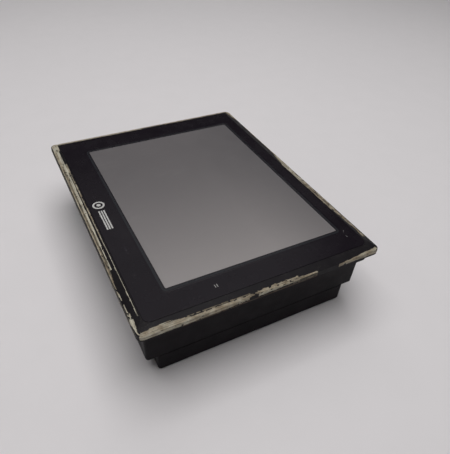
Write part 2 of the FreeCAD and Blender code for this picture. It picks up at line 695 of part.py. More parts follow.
def power_header():
    """Shrouded three-way header, open towards -Y, with its three pins."""
    mouth = PLUG_HALF + PLUG_GAP
    front, floor = PLUG_FRONT + 8.0, PLUG_FRONT + PLUG_LENGTH + 0.5
    body = box(TERMINAL_X - mouth - 1.1, TERMINAL_X + mouth + 1.1, front, floor + 2.5, 4.2, BOARD_BACK)
    body = body.cut(box(TERMINAL_X - mouth, TERMINAL_X + mouth, front - 1, floor,
                        PLUG_Z[0] - PLUG_GAP, PLUG_Z[1] + PLUG_GAP))
    pin_tip = PLUG_FRONT + 11.0
    pins = [rod_y(TERMINAL_X + i * PITCH, pin_tip, floor + 0.5, PIN_Z, 0.6) for i in (-1, 0, 1)]
    return body.fuse(pins)


def terminal_plug():
    """Plug that pulls out towards -Y: square wire entries in its front, clamp screws from behind."""
    back = PLUG_FRONT + PLUG_LENGTH
    body = box(TERMINAL_X - PLUG_HALF, TERMINAL_X + PLUG_HALF, PLUG_FRONT, back, *PLUG_Z)
    tools = []
    for i in (-1, 0, 1):
        x = TERMINAL_X + i * PITCH
        tools.append(rod_y(x, PLUG_FRONT + 10.0, back + 1, PIN_Z, 0.8))
        tools.append(box(x - WIRE_HALF, x + WIRE_HALF, PLUG_FRONT - 1, PLUG_FRONT + WIRE_DEPTH, *WIRE_Z))
        tools.append(rod(x, PLUG_SCREW_Y, PLUG_Z[0] - 1, WIRE_Z[0] + 0.3, PLUG_SCREW_RADIUS + PIN_GAP))
    return cut_all(body, tools)


def terminal_screw(i):
    """A slotted clamp screw; i counts the ways of the plug from its middle."""
    x, y = TERMINAL_X + i * PITCH, PLUG_SCREW_Y
    back = PLUG_Z[0] + 0.3
    body = rod(x, y, back, WIRE_Z[0] - 0.1, PLUG_SCREW_RADIUS)
    return body.cut(box(x - 2.0, x + 2.0, y - 0.3, y + 0.3, back - 0.1, back + 1.0))


def d_outline(x, half_width, half_height, y0, y1):
    """A prism along Y with the slanted-side outline of a D-shaped plug."""
    slant = 0.8
    corners = [(-half_width, half_height), (half_width, half_height),
               (half_width - slant, -half_height), (slant - half_width, -half_height)]
    points = [Vector(x + a, y0, SERIAL_Z + b) for a, b in corners + corners[:1]]
    return Part.Face(Part.makePolygon(points)).extrude(Vector(0, y1 - y0, 0))


def serial_shell(x):
    y = COVER_INSIDE + 0.1
    flange = box(x - 15.4, x + 15.4, y, y + 1.0, 2.4, 14.8)
    nose = d_outline(x, 8.7, 4.4, y - 5.3, y + 0.5)
    shape = flange.fuse(nose).cut(d_outline(x, 8.2, 3.9, y - 6, y + 2))
    holes = [rod_y(x + side * SERIAL_SPACING / 2, y - 1, y + 2, SERIAL_Z, 1.55) for side in (-1, 1)]
    return cut_all(shape, holes)


def serial_insert(x):
    y = COVER_INSIDE + 0.1
    front = d_outline(x, 8.1, 3.8, y - 4.9, y + 1.0)
    back = box(x - 9.5, x + 9.5, y + 1.0, y + 9.0, 4.0, BOARD_BACK)
    holes = []
    for row, count in ((1.42, 5), (-1.42, 4)):
        for i in range(count):
            px = x + (i - (count - 1) / 2) * 2.77
            holes.append(rod_y(px, y - 6, y + 1.0, SERIAL_Z + row, 0.55))
    return cut_all(front.fuse(back), holes)


def serial_standoffs():
    posts = []
    y = COVER_INSIDE + 0.1
    for x in SERIAL_X:
        for side in (-1, 1):
            px = x + side * SERIAL_SPACING / 2
            post = hexagon_y(px, y - 5.3, y, SERIAL_Z, 2.7)
            post = post.fuse(rod_y(px, y, y + 4.0, SERIAL_Z, 1.45))
            posts.append(post.cut(rod_y(px, y - 6, y - 0.6, SERIAL_Z, 1.3)))
    return group(posts)


def network_jack():
    x0, x1 = NETWORK_X - 8.0, NETWORK_X + 8.0
    front, floor = SOCKET_FRONT, -62.0
    body = box(x0, x1, front, -58.5, 2.5, BOARD_BACK)
    mouth = box(NETWORK_X - 5.9, NETWORK_X + 5.9, front - 1, floor, 4.0, 11.6)
    tab = box(NETWORK_X - 3.0, NETWORK_X + 3.0, front - 1, floor, 11.0, 13.6)
    body = body.cut(mouth).cut(tab)
    contacts = []
    for i in range(8):
        x = NETWORK_X - 3.57 + i * 1.02
        contacts.append(box(x - 0.2, x + 0.2, front + 4, floor + 0.5, 3.6, 4.5))
    return body.fuse(contacts)


def usb_host_port():
    x0, x1 = HOST_X - 6.6, HOST_X + 6.6
    front, floor = SOCKET_FRONT, -62.0
    shell = box(x0, x1, front, floor + 2, 9.3, BOARD_BACK)
    shell = shell.cut(box(x0 + SHIELD, x1 - SHIELD, front - 1, floor, 9.3 + SHIELD, BOARD_BACK - SHIELD))
    return shell.fuse(box(HOST_X - 5.4, HOST_X + 5.4, front + 1, floor + 0.5, 12.3, 14.0))


def usb_device_port():
    x0, x1 = DEVICE_X - 6.0, DEVICE_X + 6.0
    front, floor = SOCKET_FRONT, -62.0
    shell = box(x0, x1, front, -58.5, 4.2, BOARD_BACK)
    shell = shell.cut(box(DEVICE_X - 4.2, DEVICE_X + 4.2, front - 1, floor, 5.4, 13.2))
    return shell.fuse(box(DEVICE_X - 2.8, DEVICE_X + 2.8, front + 1, floor + 0.5, 7.9, 11.1))


def key_switch():
    front = SWITCH_FRONT + 1.0
    body = box(KEY_X - 3.2, KEY_X + 3.2, front, front + 6.0, 7.6, BOARD_BACK)
    return body.fuse(rod_y(KEY_X, SWITCH_FRONT, front, KEY_Z, 1.2))


def system_key():
    """Push key: cap through the wall, retaining collar inside, stem to the switch."""
    cap = rod_y(KEY_X, COVER_FRONT - 0.8, COVER_INSIDE + 0.1, KEY_Z, 2.2)
    collar = rod_y(KEY_X, COVER_INSIDE + 0.1, COVER_INSIDE + 0.9, KEY_Z, 3.0)
    stem_end = SWITCH_FRONT - KEY_TRAVEL - KEY_SPARE
    stem = rod_y(KEY_X, COVER_INSIDE + 0.9, stem_end, KEY_Z, 1.2)
    rim = [e for e in cap.Edges if is_circle(e) and e.CenterOfMass.y < COVER_FRONT]
    return cap.makeFillet(0.5, rim).fuse([collar, stem])


NODES = {
    "front_bezel": front_bezel,
    "overlay_sheet": overlay_sheet,
    "panel_gasket": panel_gasket,
    "light_pipe": light_pipe,
    "indicator_board": indicator_board,
    "status_lamp": status_lamp,
    "touch_glass": touch_glass,
    "touch_foam": touch_foam,
    "touch_tail": touch_tail,
    "display_front_frame": display_front_frame,
    "display_cell": display_cell,
    "optical_sheets": optical_sheets,
    "light_guide": light_guide,
    "backlight_strip": backlight_strip,
    "display_rear_tray": display_rear_tray,
    "display_clips": display_clips,
    "clip_screws": clip_screws,
    "display_socket": display_socket,
    "display_ribbon": display_ribbon,
    "backlight_lead": backlight_lead,
    "rear_case": rear_case,
    "service_door": service_door,
    "back_cover": back_cover,
    "rating_plate": rating_plate,
    "case_screws": case_screws,
    "cover_screws": cover_screws,
    "main_board": main_board,
    "board_standoffs": board_standoffs,
    "board_screws": board_screws,
    "power_board": power_board,
    "power_spacers": power_spacers,
    "power_screws": power_screws,
    "inductor": inductor,
    "capacitors": capacitors,
    "processor": processor,
    "heatsink": heatsink,
    "memory_chips": memory_chips,
    "buzzer": buzzer,
    "battery_holder": battery_holder,
    "coin_battery": coin_battery,
    "card_slot": card_slot,
    "ribbon_sockets": ribbon_sockets,
    "power_header": power_header,
    "terminal_plug": terminal_plug,
    "terminal_screw_1": lambda: terminal_screw(-1),
    "terminal_screw_2": lambda: terminal_screw(0),
    "terminal_screw_3": lambda: terminal_screw(1),
    "serial_port_1": lambda: serial_shell(SERIAL_X[0]),
    "serial_port_2": lambda: serial_shell(SERIAL_X[1]),
    "serial_inserts": lambda: group([serial_insert(x) for x in SERIAL_X]),
    "serial_standoffs": serial_standoffs,
    "network_jack": network_jack,
    "usb_host_port": usb_host_port,
    "usb_device_port": usb_device_port,
    "key_switch": key_switch,
    "system_key": system_key,
}


def main():
    os.makedirs("parts", exist_ok=True)
    for name, make in NODES.items():
        shape = make()
        shape.exportStep("parts/" + name + ".step")
        bounds = shape.BoundBox
        print("%-22s solids %2d valid %s volume %9.1f z %.2f..%.2f" % (
            name, len(shape.Solids), shape.isValid(), shape.Volume, bounds.ZMin, bounds.ZMax))


main()
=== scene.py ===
import json
import math
import random

import bmesh
import bpy
from mathutils import Matrix, Vector, noise


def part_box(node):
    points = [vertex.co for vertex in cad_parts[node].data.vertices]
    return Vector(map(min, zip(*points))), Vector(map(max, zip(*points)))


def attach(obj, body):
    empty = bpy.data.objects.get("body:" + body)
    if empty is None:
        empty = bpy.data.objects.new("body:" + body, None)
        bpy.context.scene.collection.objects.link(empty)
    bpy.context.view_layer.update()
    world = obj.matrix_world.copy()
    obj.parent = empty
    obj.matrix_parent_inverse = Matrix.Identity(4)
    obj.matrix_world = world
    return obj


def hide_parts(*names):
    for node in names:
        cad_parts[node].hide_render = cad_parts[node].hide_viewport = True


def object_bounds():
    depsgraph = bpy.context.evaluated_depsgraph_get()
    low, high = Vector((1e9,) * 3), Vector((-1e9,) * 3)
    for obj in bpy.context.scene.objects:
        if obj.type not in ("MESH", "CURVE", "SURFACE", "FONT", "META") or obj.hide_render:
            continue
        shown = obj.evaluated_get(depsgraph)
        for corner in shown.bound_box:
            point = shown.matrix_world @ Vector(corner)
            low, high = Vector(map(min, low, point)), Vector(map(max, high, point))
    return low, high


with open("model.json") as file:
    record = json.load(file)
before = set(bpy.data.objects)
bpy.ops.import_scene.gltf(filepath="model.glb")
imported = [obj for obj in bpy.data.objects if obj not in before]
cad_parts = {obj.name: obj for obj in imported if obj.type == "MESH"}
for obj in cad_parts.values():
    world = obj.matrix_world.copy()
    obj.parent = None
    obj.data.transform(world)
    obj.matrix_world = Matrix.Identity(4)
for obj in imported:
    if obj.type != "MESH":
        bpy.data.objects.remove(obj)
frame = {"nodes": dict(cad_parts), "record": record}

# Looks of a used flush-mounting touch panel. Metres, in the frame of the CAD model: +X is the
# operator's right, +Y is up on the screen and +Z points out of the screen. It lies on its back.

MM = 0.001
CAD_LOW, CAD_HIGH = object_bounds()
NODES = frame["nodes"]
BODY_OF = {n: body for body, names in frame["record"]["behaviour"]["bodies"].items() for n in names}
SLOT_OF = {part["node"]: part["material_slot"] for part in frame["record"]["subparts"]}
FACE_Z = CAD_HIGH.z


# ---------------------------------------------------------------- material building blocks

NOISE_SPAN = (0.3, 0.7)     # smooth noise lies between these nearly everywhere


class Paint:
    """A procedural material: a Principled shader with noise behind its colour, roughness and bump."""

    def __init__(self, name, metallic=0.0, ior=1.5, specular=0.5):
        self.name = name
        self.material = bpy.data.materials.new("look_" + name)
        self.material.use_nodes = True
        self.tree = self.material.node_tree
        self.shader = self.tree.nodes["Principled BSDF"]
        self.shader.inputs["Metallic"].default_value = metallic
        self.shader.inputs["IOR"].default_value = ior
        self.shader.inputs["Specular IOR Level"].default_value = specular
        self.place = self.tree.nodes.new("ShaderNodeTexCoord").outputs["Object"]
        self.normal = None

    def link(self, source, target):
        self.tree.links.new(source, target)

    def scaled(self, size, stretch=(1, 1, 1), place=None):
        """The place on the object, counted in units of this size in metres along each axis."""
        scale = self.tree.nodes.new("ShaderNodeMapping")
        scale.inputs["Scale"].default_value = [1 / (size * s) for s in stretch]
        self.link(place or self.place, scale.inputs["Vector"])
        return scale.outputs["Vector"]

    def noise(self, size, detail=3.0, stretch=(1, 1, 1), distortion=0.0, place=None):
        """Smooth noise with features of about this size in metres, stretched along the axes."""
        texture = self.tree.nodes.new("ShaderNodeTexNoise")
        texture.inputs["Scale"].default_value = 1.0
        texture.inputs["Detail"].default_value = detail
        texture.inputs["Distortion"].default_value = distortion
        self.link(self.scaled(size, stretch, place), texture.inputs["Vector"])
        return texture.outputs["Fac"]

    def cells(self, size, feature="F1"):
        """Voronoi cells of about this size in metres."""
        texture = self.tree.nodes.new("ShaderNodeTexVoronoi")
        texture.feature = feature
        texture.inputs["Scale"].default_value = 1.0
        self.link(self.scaled(size), texture.inputs["Vector"])
        return texture.outputs["Distance"]

    def remap(self, value, low, high, to_low, to_high):
        """The value, spread from low..high to to_low..to_high and clamped there."""
        node = self.tree.nodes.new("ShaderNodeMapRange")
        node.clamp = True
        for key, number in (("From Min", low), ("From Max", high), ("To Min", to_low), ("To Max", to_high)):
            node.inputs[key].default_value = number
        self.link(value, node.inputs["Value"])
        return node.outputs["Result"]

    def mix(self, share, first, second):
        """Colour between two colours or sockets."""
        node = self.tree.nodes.new("ShaderNodeMix")
        node.data_type = "RGBA"
        self.link(share, node.inputs["Factor"])
        for socket, value in ((node.inputs[6], first), (node.inputs[7], second)):
            if isinstance(value, (tuple, list)):
                socket.default_value = (*value, 1.0)
            else:
                self.link(value, socket)
        return node.outputs[2]

    def product(self, first, second):
        """Two values multiplied."""
        node = self.tree.nodes.new("ShaderNodeMath")
        node.operation = "MULTIPLY"
        self.link(first, node.inputs[0])
        self.link(second, node.inputs[1])
        return node.outputs[0]

    def attribute(self, name):
        """A value that the mesh stores at each corner point."""
        node = self.tree.nodes.new("ShaderNodeAttribute")
        node.attribute_name = name
        return node.outputs["Fac"]

    def rim_place(self):
        """Coordinates along the rim and across it, in metres."""
        node = self.tree.nodes.new("ShaderNodeCombineXYZ")
        self.link(self.attribute("along"), node.inputs["X"])
        self.link(self.attribute("across"), node.inputs["Y"])
        return node.outputs[0]

    def along(self, axis):
        """The coordinate along an axis, in metres."""
        node = self.tree.nodes.new("ShaderNodeSeparateXYZ")
        self.link(self.place, node.inputs[0])
        return node.outputs[axis]

    def colour(self, value):
        self.link(value, self.shader.inputs["Base Color"])

    def overlay(self, share, colour):
        """Lays another colour over the one already there, as strongly as the share says."""
        base = self.shader.inputs["Base Color"].links[0].from_socket
        self.colour(self.mix(share, base, colour))

    def roughness(self, noise_value, low, high):
        """Roughness that wanders between low and high with the noise."""
        self.link(self.remap(noise_value, *NOISE_SPAN, low, high), self.shader.inputs["Roughness"])

    def bump(self, height, depth, strength=1.0):
        """Adds relief of this depth in metres on top of any relief already there."""
        node = self.tree.nodes.new("ShaderNodeBump")
        node.inputs["Strength"].default_value = strength
        node.inputs["Distance"].default_value = depth
        self.link(height, node.inputs["Height"])
        if self.normal is not None:
            self.link(self.normal, node.inputs["Normal"])
        self.normal = node.outputs["Normal"]
        self.link(self.normal, self.shader.inputs["Normal"])


def moulded(name, low, high, rough, grain=0.35 * MM, relief=0.03 * MM, blotch=9 * MM, specular=0.5):
    """Moulded plastic: two close tones in soft blotches, fine grain and uneven gloss."""
    paint = Paint(name, specular=specular)
    paint.colour(paint.mix(paint.noise(blotch, 4), low, high))
    paint.roughness(paint.noise(blotch * 0.6, 5), rough - 0.07, rough + 0.07)
    paint.bump(paint.noise(grain, 2), relief)
    return paint


def metal(name, low, high, rough, stretch=(1, 1, 1), relief=0.006 * MM):
    """Plated or bare metal with rolling marks along the stretched axis."""
    paint = Paint(name, metallic=1.0)
    paint.colour(paint.mix(paint.noise(3 * MM, 4), low, high))
    paint.roughness(paint.noise(0.5 * MM, 3, stretch), rough - 0.08, rough + 0.1)
    paint.bump(paint.noise(0.25 * MM, 2, stretch), relief)
    return paint


# ---------------------------------------------------------------- the materials

def bezel_plastic():
    """Black rim plastic with rub marks along it and a little dried grime."""
    paint = moulded("bezel_plastic", (0.0065, 0.0055, 0.0070), (0.0125, 0.0110, 0.0130), 0.46,
                    grain=0.22 * MM, relief=0.012 * MM, specular=0.10)
    grime = paint.product(paint.remap(paint.noise(1.1 * MM, 6), 0.52, 0.68, 0, 1),
                          paint.remap(paint.noise(14 * MM, 2), 0.45, 0.6, 0, 0.5))
    paint.overlay(grime, (0.034, 0.031, 0.028))
    return paint


def case_plastic():
    """Black case plastic with a spark-eroded texture and a light film of dust."""
    paint = moulded("case_plastic", (0.0072, 0.0060, 0.0074), (0.0126, 0.0106, 0.0128), 0.50,
                    grain=0.30 * MM, relief=0.030 * MM, blotch=16 * MM, specular=0.08)
    dust = paint.product(paint.remap(paint.noise(0.8 * MM, 5), 0.55, 0.72, 0, 1),
                         paint.remap(paint.noise(22 * MM, 3), 0.42, 0.62, 0, 0.35))
    paint.overlay(dust, (0.040, 0.036, 0.033))
    return paint


def border_film():
    """Printed semi-gloss border of the front film, with faint rub marks and fine dust."""
    paint = Paint("overlay_film", ior=1.45, specular=0.14)
    base = paint.mix(paint.noise(30 * MM, 2), (0.0058, 0.0042, 0.0066), (0.0092, 0.0067, 0.0104))
    rubs = paint.product(
        paint.remap(paint.noise(0.9 * MM, 5, (9, 1, 1), 0.6), 0.60, 0.72, 0, 1),
        paint.remap(paint.noise(18 * MM, 2), 0.50, 0.66, 0, 0.45))
    base = paint.mix(rubs, base, (0.030, 0.026, 0.036))
    specks = paint.product(
        paint.remap(paint.cells(3.1 * MM), 0.05, 0.09, 0.55, 0),
        paint.remap(paint.noise(9 * MM, 2), 0.50, 0.60, 0, 1))
    paint.colour(paint.mix(specks, base, (0.11, 0.105, 0.10)))
    paint.roughness(paint.noise(12 * MM, 5), 0.20, 0.31)
    paint.bump(paint.noise(0.35 * MM, 2), 0.0022 * MM)
    return paint


def window_film():
    """Matte anti-glare window: it lies over the grey, switched-off display. Its colour holds a painted
    reflection that lightens towards +X and painted shade that darkens towards +Y.
    """
    paint = Paint("window_film", ior=1.5, specular=0.75)
    cloud = paint.mix(paint.noise(45 * MM, 3), (0.087, 0.080, 0.083), (0.099, 0.091, 0.094))
    smear = paint.product(
        paint.remap(paint.noise(7 * MM, 4, (1, 3, 1), 0.8), 0.50, 0.66, 0, 0.30),
        paint.remap(paint.noise(38 * MM, 1), 0.46, 0.60, 0, 1))
    base = paint.mix(smear, cloud, (0.120, 0.113, 0.112))
    # Painted reflection: the window's colour grows lighter towards +X, with the square of the distance.
    painted_glare = paint.remap(paint.along("X"), -60 * MM, 95 * MM, 0, 1)
    painted_glare = paint.product(painted_glare, painted_glare)
    base = paint.mix(painted_glare, base, (0.228, 0.211, 0.208))
    # Painted shade: the window's colour grows darker towards +Y.
    painted_shade_high = paint.remap(paint.along("Y"), 20 * MM, 74 * MM, 0, 0.62)
    paint.colour(paint.mix(painted_shade_high, base, (0.064, 0.060, 0.064)))
    paint.roughness(paint.noise(16 * MM, 4), 0.38, 0.46)
    paint.bump(paint.noise(0.18 * MM, 1), 0.004 * MM)
    return paint


def residue():
    """Dried filler left along the rim: pale beige, browner and darker where the tone falls."""
    paint = Paint("residue", specular=0.25)
    tone = paint.attribute("tone")
    rim = paint.rim_place()
    streaks = paint.remap(paint.noise(0.8 * MM, 3, (16, 1, 1), 0.2, rim), 0.30, 0.70, 0, 1)
    light = paint.mix(streaks, (0.325, 0.305, 0.238), (0.570, 0.545, 0.445))
    middle = paint.mix(streaks, (0.150, 0.119, 0.080), (0.320, 0.262, 0.178))
    dark = paint.mix(streaks, (0.022, 0.022, 0.018), (0.085, 0.084, 0.070))
    base = paint.mix(paint.remap(tone, 0.0, 0.5, 0, 1), dark, middle)
    base = paint.mix(paint.remap(tone, 0.5, 1.0, 0, 1), base, light)
    scratches = paint.remap(paint.noise(0.7 * MM, 3, (24, 1, 1), 0.1, rim), 0.57, 0.66, 0, 0.85)
    base = paint.mix(scratches, base, (0.040, 0.035, 0.028))
    crumbs = paint.remap(paint.noise(0.75 * MM, 4), 0.61, 0.70, 0, 0.8)
    base = paint.mix(crumbs, base, (0.034, 0.030, 0.024))
    rust = paint.attribute("rust")
    paint.colour(paint.mix(rust, base, (0.052, 0.030, 0.021)))
    paint.roughness(paint.noise(1.2 * MM, 3), 0.55, 0.82)
    paint.bump(paint.noise(0.6 * MM, 5), 0.07 * MM)
    paint.bump(paint.noise(0.5 * MM, 3, (20, 1, 1), 0.1, rim), 0.10 * MM)
    return paint


def foam():
    """Closed-cell sealing foam, brownish and torn at its cut edge."""
    paint = Paint("foam_seal", specular=0.2)
    paint.colour(paint.mix(paint.noise(3 * MM, 5), (0.016, 0.012, 0.010), (0.050, 0.030, 0.020)))
    paint.roughness(paint.noise(1 * MM), 0.82, 0.95)
    paint.bump(paint.cells(0.55 * MM), 0.12 * MM)
    return paint


def board():
    """Solder mask over copper: light tracks and dark gaps in a wandering pattern."""
    paint = Paint("board_green", specular=0.6)
    tracks = paint.remap(paint.cells(2.4 * MM, "DISTANCE_TO_EDGE"), 0.04, 0.07, 0, 1)
    base = paint.mix(tracks, (0.012, 0.085, 0.035), (0.020, 0.130, 0.055))
    vias = paint.remap(paint.cells(3.3 * MM), 0.08, 0.11, 1, 0)
    paint.colour(paint.mix(vias, base, (0.42, 0.40, 0.30)))
    paint.roughness(paint.noise(6 * MM), 0.26, 0.40)
    paint.bump(tracks, 0.03 * MM)
    return paint


def ruled_label():
    """Blank satin label foil."""
    paint = metal("label_silver", (0.42, 0.42, 0.42), (0.52, 0.52, 0.51), 0.42, (14, 1, 1))
    stain = paint.remap(paint.noise(7 * MM, 5), 0.58, 0.72, 0, 0.5)
    paint.overlay(stain, (0.22, 0.20, 0.17))
    return paint


def glass():
    """Clear glass with faint finger grease."""
    paint = Paint("clear_glass", ior=1.5)
    paint.shader.inputs["Transmission Weight"].default_value = 0.9
    paint.colour(paint.mix(paint.noise(20 * MM), (0.80, 0.84, 0.83), (0.88, 0.90, 0.89)))
    paint.roughness(paint.noise(6 * MM, 5), 0.03, 0.14)
    return paint


def ink():
    """Light grey screen print on the film."""
    paint = Paint("ink", specular=0.3)
    paint.colour(paint.mix(paint.noise(0.7 * MM, 4), (0.34, 0.34, 0.33), (0.60, 0.60, 0.58)))
    paint.roughness(paint.noise(1 * MM), 0.45, 0.6)
    paint.bump(paint.noise(0.15 * MM), 0.004 * MM)
    return paint


def dark_ink():
    """Dark print on the label."""
    paint = Paint("dark_ink", specular=0.3)
    paint.colour(paint.mix(paint.noise(0.9 * MM, 4), (0.016, 0.016, 0.018), (0.045, 0.045, 0.048)))
    paint.roughness(paint.noise(1 * MM), 0.5, 0.65)
    return paint


def backdrop():
    """Matt pale table top with barely visible mottling."""
    paint = Paint("backdrop", specular=0.12)
    cloud = paint.mix(paint.noise(260 * MM, 3), (0.722, 0.708, 0.718), (0.752, 0.733, 0.742))
    motes = paint.remap(paint.noise(26 * MM, 5), 0.4, 0.7, 0, 0.35)
    paint.colour(paint.mix(motes, cloud, (0.712, 0.698, 0.706)))
    paint.roughness(paint.noise(40 * MM), 0.75, 0.9)
    return paint


def make_materials():
    """Every material by name: the record's slots, and the finishes that only the looks need."""
    made = [
        bezel_plastic(), case_plastic(), border_film(), window_film(), residue(), foam(), board(),
        ruled_label(), glass(), ink(), dark_ink(), backdrop(),
        # A lighter bluish finish for the film round the window: painted sheen.
        moulded("film_sheen_band", (0.0085, 0.0092, 0.0122), (0.0125, 0.0132, 0.0170), 0.30, relief=0.003 * MM,
                specular=0.18),
        moulded("clear_plastic", (0.70, 0.72, 0.72), (0.82, 0.84, 0.83), 0.25, relief=0.004 * MM),
        moulded("display_cell", (0.10, 0.10, 0.11), (0.14, 0.14, 0.15), 0.28, relief=0.003 * MM),
        metal("plated_steel", (0.46, 0.45, 0.42), (0.62, 0.61, 0.57), 0.34),
        metal("nickel_shell", (0.52, 0.50, 0.46), (0.66, 0.64, 0.60), 0.27, (8, 1, 1)),
        metal("aluminium", (0.60, 0.60, 0.61), (0.74, 0.74, 0.75), 0.36, (1, 10, 1)),
        metal("brass", (0.56, 0.40, 0.17), (0.74, 0.57, 0.27), 0.30),
        metal("gold_contact", (0.70, 0.50, 0.18), (0.86, 0.66, 0.28), 0.24),
        moulded("chip_black", (0.012, 0.012, 0.013), (0.026, 0.026, 0.028), 0.52),
        moulded("socket_ivory", (0.50, 0.47, 0.37), (0.64, 0.60, 0.48), 0.44),
        moulded("socket_black", (0.010, 0.010, 0.011), (0.022, 0.022, 0.024), 0.38),
        moulded("terminal_green", (0.012, 0.155, 0.050), (0.022, 0.225, 0.078), 0.36),
        moulded("ribbon_film", (0.55, 0.53, 0.48), (0.70, 0.67, 0.60), 0.35, relief=0.004 * MM),
        moulded("flex_amber", (0.34, 0.16, 0.035), (0.48, 0.26, 0.07), 0.30, relief=0.004 * MM),
        moulded("lead_red", (0.36, 0.03, 0.025), (0.50, 0.05, 0.04), 0.48),
        moulded("ferrite", (0.035, 0.035, 0.038), (0.065, 0.065, 0.070), 0.62, relief=0.05 * MM),
        moulded("lamp_white", (0.72, 0.71, 0.62), (0.84, 0.83, 0.74), 0.34, relief=0.004 * MM),
    ]
    return {paint.name: paint.material for paint in made}


MATERIALS = make_materials()


# ---------------------------------------------------------------- mesh helpers

def add_piece(name, mesh, material, body, smooth_angle=None):
    """Makes an object of the mesh that rides on the body and takes the record's slot."""
    for one in material if isinstance(material, (list, tuple)) else [material]:
        mesh.materials.append(MATERIALS[one])
    if smooth_angle is not None:
        mesh = smooth(mesh, smooth_angle)
    piece = bpy.data.objects.new(name, mesh)
    bpy.context.scene.collection.objects.link(piece)
    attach(piece, body)
    return piece


def smooth(mesh, degrees):
    """Smooth shading that keeps large faces flat, with edges sharper than this kept as sharp lines."""
    mesh.shade_smooth()
    work = bmesh.new()
    work.from_mesh(mesh)
    limit = math.radians(degrees)
    for edge in work.edges:
        edge.smooth = len(edge.link_faces) == 2 and edge.calc_face_angle(0.0) < limit
    work.to_mesh(mesh)
    work.free()
    return with_modifier(mesh, "WEIGHTED_NORMAL", keep_sharp=True, weight=100)


def with_modifier(mesh, kind, **settings):
    """A new mesh: the given one with this modifier applied."""
    holder = bpy.data.objects.new("holder", mesh)
    bpy.context.scene.collection.objects.link(holder)
    modifier = holder.modifiers.new("modifier", kind)
    for key, value in settings.items():
        setattr(modifier, key, value)
    evaluated = holder.evaluated_get(bpy.context.evaluated_depsgraph_get())
    result = bpy.data.meshes.new_from_object(evaluated)
    bpy.data.objects.remove(holder)
    bpy.data.meshes.remove(mesh)
    return result


def finished(work, name):
    """The working mesh as a mesh of this name, with its faces turned outwards."""
    bmesh.ops.recalc_face_normals(work, faces=work.faces)
    mesh = bpy.data.meshes.new(name)
    work.to_mesh(mesh)
    work.free()
    return mesh


def is_closed(mesh):
    """Whether every edge has a face on each of its two sides."""
    work = bmesh.new()
    work.from_mesh(mesh)
    closed = all(len(edge.link_faces) == 2 for edge in work.edges)
    work.free()
    return closed


WELD_DISTANCE = 0.0005 * MM
FLAT_ANGLE = math.radians(0.4)
BEVEL_ANGLE = math.radians(35)


def welded(node):
    """A copy of the CAD node's mesh with its corners joined and its flat faces whole."""
    mesh = NODES[node].data.copy()
    mesh.materials.clear()
    work = bmesh.new()
    work.from_mesh(mesh)
    bmesh.ops.remove_doubles(work, verts=work.verts, dist=WELD_DISTANCE)
    bmesh.ops.dissolve_limit(work, angle_limit=FLAT_ANGLE, verts=work.verts, edges=work.edges)
    work.to_mesh(mesh)
    work.free()
    return mesh


def bevelled(node, width):
    """The node's mesh with its sharp edges rounded, or None where the result isn't a closed mesh."""
    result = with_modifier(welded(node), "BEVEL", width=width, segments=2, limit_method="ANGLE",
                           angle_limit=BEVEL_ANGLE, use_clamp_overlap=True)
    return result if is_closed(result) else None


def dress_cad_node(node, width):
    """Shows the node with rounded edges and its slot's material, or paints the CAD mesh itself."""
    finish = MATERIALS[SLOT_OF[node]]
    mesh = bevelled(node, width)
    if mesh is None:
        shown = NODES[node]
        if not shown.data.materials:
            shown.data.materials.append(finish)
        for i in range(len(shown.material_slots)):
            shown.material_slots[i].material = finish
        print("kept the CAD mesh of", node)
        return
    mesh.materials.clear()
    piece = add_piece(node + "_shell", mesh, SLOT_OF[node], BODY_OF[node], 25)
    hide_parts(node)


# ---------------------------------------------------------------- rounded rectangles

class Loop:
    """Points round a rounded rectangle, anticlockwise from the left end of its lower side."""

    def __init__(self, half_x, half_y, radius, step, corner_points=7):
        self.half_x, self.half_y, self.radius = half_x, half_y, radius
        self.along_x = max(1, round(2 * (half_x - radius) / step))
        self.along_y = max(1, round(2 * (half_y - radius) / step))
        self.corner_points = corner_points

    def points(self, inset, centre=(0.0, 0.0), least_radius=0.0003):
        """(x, y, outward x, outward y) for each point of the outline moved in by inset."""
        hx, hy = self.half_x - inset, self.half_y - inset
        r = max(self.radius - inset, least_radius)
        sides = [
            ((-hx + r, -hy), (hx - r, -hy), self.along_x, -90),
            ((hx, -hy + r), (hx, hy - r), self.along_y, 0),
            ((hx - r, hy), (-hx + r, hy), self.along_x, 90),
            ((-hx, hy - r), (-hx, -hy + r), self.along_y, 180),
        ]
        found = []
        for start, end, count, facing in sides:
            nx, ny = math.cos(math.radians(facing)), math.sin(math.radians(facing))
            for i in range(count + 1):
                t = i / count
                found.append((centre[0] + start[0] + (end[0] - start[0]) * t,
                              centre[1] + start[1] + (end[1] - start[1]) * t, nx, ny))
            cx, cy = end[0] - nx * r, end[1] - ny * r
            for i in range(1, self.corner_points):
                a = math.radians(facing + 90 * i / self.corner_points)
                found.append((centre[0] + cx + r * math.cos(a), centre[1] + cy + r * math.sin(a),
                              math.cos(a), math.sin(a)))
        return found


def loft(rings, materials=None):
    """Closed mesh through rings of equally many points: the first and last rings are capped."""
    work = bmesh.new()
    rows = [[work.verts.new(point) for point in ring] for ring in rings]
    for k, (lower, upper) in enumerate(zip(rows, rows[1:])):
        for i in range(len(lower)):
            j = (i + 1) % len(lower)
            face = work.faces.new((lower[i], lower[j], upper[j], upper[i]))
            face.material_index = materials[k] if materials else 0
    first = work.faces.new(list(reversed(rows[0])))
    last = work.faces.new(rows[-1])
    if materials:
        first.material_index = materials[0]
        last.material_index = materials[-1]
    return finished(work, "loft")


# ---------------------------------------------------------------- front film

FILM_LOW, FILM_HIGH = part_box("overlay_sheet")
WINDOW_HALF = (86.2 * MM, 64.65 * MM)
WINDOW_CENTRE = (0.8 * MM, 4.5 * MM)
WINDOW_RADIUS = 0.6 * MM
FILM_RADIUS = 4.6 * MM
EMBOSS = 0.10 * MM
EMBOSS_OUT = 3.2 * MM       # how far out from the window the middle of the pressed step lies
FILM_STEP = 12 * MM


